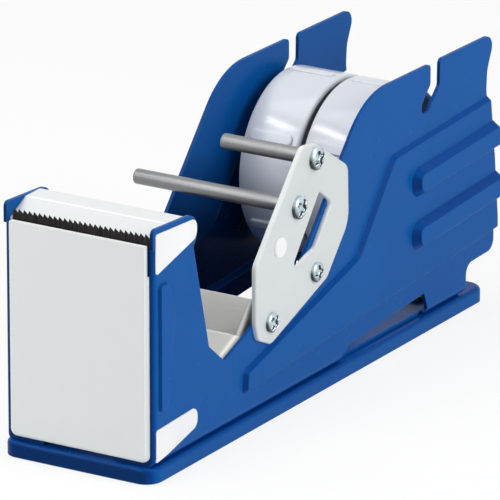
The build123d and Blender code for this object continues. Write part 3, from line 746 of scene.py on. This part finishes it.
def cover_loop(inset, top_inset, y):
    """The cover's outline at one depth; above the rims it goes no deeper than the sheet."""
    left, right, top = cover_left + inset, cover_right - inset, cover_top - top_inset
    bottom, above_rim = cover_bottom + inset, rim_top + 0.1
    corners = [(left, bottom), (right, bottom), (right, rim_top), (right, above_rim),
               (right, top), (left, top), (left, above_rim), (left, rim_top)]
    low, high = max(0.5, low_corner - inset), max(0.3, high_corner - inset)
    line = rounded_line(corners, [low, low, 0, 0, cut_corner, high, 0, 0], 5)
    return [(x, y if z <= rim_top else min(y, sheet_back), z) for x, z in line]


cover_loops = []
for step in range(roll_steps + 1):
    angle = math.pi / 2 * step / roll_steps
    out, behind = 1 - math.sin(angle), 1 - math.cos(angle)
    cover_loops.append(cover_loop(cover_roll * out, 0.1 + 0.4 * out,
                                  cover_face + cover_roll * behind))
cover_loops += [cover_loop(0.0, 0.12, front_y), cover_loop(rim_sheet, 0.16, front_y),
                cover_loop(rim_sheet, 0.2, front_y - 0.9), cover_loop(1.35, 0.3, sheet_back)]
cover_mesh = stacked("folded_cover", cover_loops)

# %% weld studs on the cover
stud_x, stud_z, stud_rise, stud_radius, stud_end = 25, 20.08, 70.305, 1.5, -127.25


def stud_form(x):
    angles = [math.pi * step / 12 for step in range(24)]
    return stacked("stud_form", [[(x + stud_radius * math.cos(angle), y,
                                   stud_radius * math.sin(angle) + stud_z) for angle in angles]
                                 for y in (sheet_back, stud_end)])


for side in (-1, 1):
    cover_mesh = grown("folded_cover", in_row, cover_mesh, grey_enamel, stud_form(side * stud_x),
                       Count=2, Start=(0.0, 0.0, 0.0), Step=(0.0, 0.0, stud_rise * MM))
stand("folded_cover", cover_mesh, "frame", "front_cover")

# %% [markdown]
# The inner tray is one strip of bare sheet. It is folded along its length over a foot, a leg and
# a slope, and on the slope its sides roll down into flanges that fade out towards the top. A
# section of the strip is set on each point of the fold line, square to it. Each point has a
# drop, which says how far the sides turn down there.

# %% inner tray
tray_half, tray_sheet, tray_roll, roll_steps = 30.4, 1.2, 4.2, 6
flat_drop, leg_drop, slope_drop = 1.35, 2.0, 7.0
fold_line = rounded_line([(25.584, 9.1), (38.243, 9.1), (38.243, 27.492), (58.097, 33.596),
                          (72.488, 38.828), (81.016, 52.344)], [0, 2.4, 2.4, 5.0, 1.5, 0])
drops = [flat_drop] * 6 + [leg_drop] * 5 + [slope_drop] * 10 + [flat_drop]


def tray_section(drop):
    """(across, below) points of the strip, whose sides turn down as far as the drop."""
    outer = max(0.35, min(tray_roll, drop - 0.2))
    inner = max(0.05, outer - tray_sheet)
    angles = [math.pi / 2 * step / roll_steps for step in range(roll_steps + 1)]
    side = [(tray_half - outer * (1 - math.sin(a)), outer * (1 - math.cos(a))) for a in angles]
    side += [(tray_half, drop), (tray_half - tray_sheet, drop)]
    side += [(tray_half - tray_sheet - inner * (1 - math.sin(a)),
              tray_sheet + inner * (1 - math.cos(a))) for a in reversed(angles)]
    return side + [(-across, below) for across, below in reversed(side)]


tray_loops = []
for step, (spot, drop) in enumerate(zip(fold_line, drops)):
    before, after = fold_line[max(0, step - 1)], fold_line[min(len(fold_line) - 1, step + 1)]
    along = (after - before).normalized()
    up = Vector((-along.y, along.x))
    section = [(across, spot + up * (tray_sheet / 2 - below))
               for across, below in tray_section(drop)]
    tray_loops.append([(across, place.x + front_y, place.y) for across, place in section])
stand("folded_tray", stacked("folded_tray", tray_loops), "frame", "inner_tray",
      bare_sheet)

# %% [markdown]
# Each roll sits on a moulded drum: a rim with softly rounded edges, a thin web, a hub and six
# ribs, with six raised pads round the rim that grip the paper core. The body is turned, and a
# third tree sets the ribs and then the pads round it.

# %% tree that sets forms round a ring
in_ring = Growth("forms_in_a_ring", Count="number", Centre="vector")
ring_points = in_ring.add("GeometryNodePoints", Count=in_ring.given["Count"])
order = in_ring.add("GeometryNodeInputIndex").outputs[0]
slice_angle = in_ring.maths("DIVIDE", 2 * math.pi, in_ring.given["Count"])
ring_turn = in_ring.add("ShaderNodeCombineXYZ", X=in_ring.maths("MULTIPLY", order, slice_angle))
round_ring = in_ring.add("GeometryNodeInstanceOnPoints", Points=ring_points.outputs[0],
                         Instance=in_ring.form, Rotation=ring_turn.outputs[0])
moved_ring = in_ring.add("GeometryNodeTransform", Geometry=round_ring.outputs[0],
                         Translation=in_ring.given["Centre"])
in_ring.close(in_ring.with_base(moved_ring.outputs[0]))

# %% ribs and pads
def block_loop(half_length, half_width, corner, height, steps):
    """A rectangle with rounded corners, at a height above the drum's axis."""
    corners = [(-half_length, -half_width), (half_length, -half_width),
               (half_length, half_width), (-half_length, half_width)]
    return [(x, y, height) for x, y in rounded_line(corners, [corner] * 4, steps)]


def pad_form():
    """A raised grip pad whose top edge is rolled over."""
    half_length, half_width, corner, root, wall_top, pad_roll = 10.0, 2.5, 2.0, 36.8, 38.35, 0.65
    loops = [block_loop(half_length, half_width, corner, root, 5)]
    for step in range(5):
        angle = math.pi / 2 * step / 4
        inset = pad_roll * (1 - math.cos(angle))
        loops.append(block_loop(half_length - inset, half_width - inset, corner - inset,
                                wall_top + pad_roll * math.sin(angle), 5))
    return stacked("pad_form", loops)


def rib_form():
    """A rib from inside the hub to inside the rim."""
    return stacked("rib_form", [block_loop(10, 1, 0.4, height, 3) for height in (9.6, 35.9)])


# %% drums
half_drum, half_web, bore, hub, rim_inside, rim_outside = 13, 1.25, 4.8, 10, 35.5, 38
right_half = [(half_drum, bore), (half_drum, hub), (half_web, hub), (half_web, rim_inside),
              (half_drum, rim_inside), (half_drum, rim_outside)]
right_radii = [0.3, 0.5, 1.0, 1.0, 0.5, 1.2]
drum_line = rounded_line(right_half + [(-along, radius) for along, radius in right_half[::-1]],
                         right_radii + right_radii[::-1])
drum_apart, axle_place = 14.3, (69.524, 68.912)
for side, body in ((-1, "left_roll_drum"), (1, "right_roll_drum")):
    name = body.replace("_roll_", "_")
    middle = (side * drum_apart, *axle_place)
    drum_mesh = turned(name + "_shell", drum_line, middle, segments=128)
    for form in (rib_form(), pad_form()):
        drum_mesh = grown("moulded_" + name, in_ring, drum_mesh, drum_plastic, form, Count=6,
                          Centre=tuple(value * MM for value in middle))
    stand("moulded_" + name, drum_mesh, body, name)

# %% [markdown]
# The picture is taken from far away with a long lens, a little to the right of the front and
# from above. The floor and the world look white to the camera, and the floor keeps the shadow.

# %% white background
def white_to_camera(tree, lit, share=1.0):
    """Mixes a shader with plain white light, which only camera, mirror and glass rays see."""
    network = Network(tree)
    path = network.add("ShaderNodeLightPath").outputs
    seen = network.maths("MAXIMUM", path["Is Camera Ray"], path["Is Glossy Ray"])
    seen = network.maths("MAXIMUM", seen, path["Is Transmission Ray"])
    shader = "ShaderNodeBackground" if tree.nodes.get("World Output") else "ShaderNodeEmission"
    white = network.add(shader, Color=(1.0, 1.0, 1.0), Strength=1.0)
    mix = network.add("ShaderNodeMixShader")
    network.put(mix.inputs[0], network.maths("MULTIPLY", seen, share))
    network.put(mix.inputs[1], lit)
    network.put(mix.inputs[2], white.outputs[0])
    return mix.outputs[0]


# %% world
world = bpy.data.worlds.new("studio")
bpy.context.scene.world = world
world.use_nodes = True
sky = world.node_tree.nodes["Background"]
sky.inputs["Color"].default_value = (0.95, 0.97, 1.0, 1)
sky.inputs["Strength"].default_value = 0.3
world.node_tree.links.new(white_to_camera(world.node_tree, sky.outputs[0]),
                          world.node_tree.nodes["World Output"].inputs["Surface"])
print("world", world.name, "at strength", round(sky.inputs["Strength"].default_value, 2))

# %% floor
floor_half, floor_white = 6000, 0.84
floor_mesh = new_mesh("floor", [(-floor_half, -floor_half, 0), (floor_half, -floor_half, 0),
                                (floor_half, floor_half, 0), (-floor_half, floor_half, 0)],
                      [(0, 1, 2, 3)])
floor = bpy.data.objects.new("floor", floor_mesh)
bpy.context.scene.collection.objects.link(floor)
paper = Finish("white_paper", (0.9, 0.9, 0.9))
paper.coat(paper.span(paper.noise(0.4, 2), 0, 1), (0.93, 0.93, 0.93))
paper.set(Roughness=0.9)
paper.tree.links.new(white_to_camera(paper.tree, paper.shader.outputs[0], floor_white),
                     paper.tree.nodes["Material Output"].inputs["Surface"])
floor_mesh.materials.append(paper.material)

# %% [markdown]
# Three broad softboxes light the object from above, from the front and from the right. A small
# strip gives the drums the bright patch of a studio lamp. Their places are in metres.

# %% lamps
def turn_to(back):
    """The turn that makes a lamp or a camera look against this direction."""
    return (-back).to_track_quat("-Z", "Y").to_euler()


def softbox(name, place, size, watts):
    """A flat lamp that looks at the middle of the dispenser."""
    lamp = bpy.data.lights.new(name, "AREA")
    lamp.shape = "RECTANGLE"
    lamp.size, lamp.size_y = size
    lamp.energy = watts
    holder = bpy.data.objects.new(name, lamp)
    holder.location = place
    holder.rotation_euler = turn_to(Vector(place) - Vector((0, 0, 0.055)))
    bpy.context.scene.collection.objects.link(holder)
    print(name, watts, "W")


softbox("top_box", (-0.1, -0.1, 1.2), (1.0, 1.0), 5.9)
softbox("front_box", (-0.5, -1.1, 0.8), (0.8, 0.8), 5.8)
softbox("side_box", (1.3, 0.0, 0.7), (0.7, 0.9), 8.9)
softbox("strip_box", (-0.55, -0.45, 0.9), (0.36, 0.1), 1.4)

# %% camera
azimuth, elevation, distance = math.radians(31.43), math.radians(18.9), 3.162
aim = Vector((0, -0.00195, 0.055))
back = Vector((math.sin(azimuth) * math.cos(elevation), -math.cos(azimuth) * math.cos(elevation),
               math.sin(elevation)))
camera_data = bpy.data.cameras.new("camera")
camera_data.sensor_width = 36.0
camera_data.lens = 563.6
camera_data.shift_x, camera_data.shift_y = -0.0044, -0.0076
camera_data.clip_end = 20
camera = bpy.data.objects.new("camera", camera_data)
camera.location = aim + distance * back
camera.rotation_euler = turn_to(back)
bpy.context.scene.collection.objects.link(camera)
bpy.context.scene.camera = camera
bpy.context.scene.view_settings.view_transform = "Standard"
print("camera", distance, "m away with a lens of", round(camera_data.lens, 1), "mm")
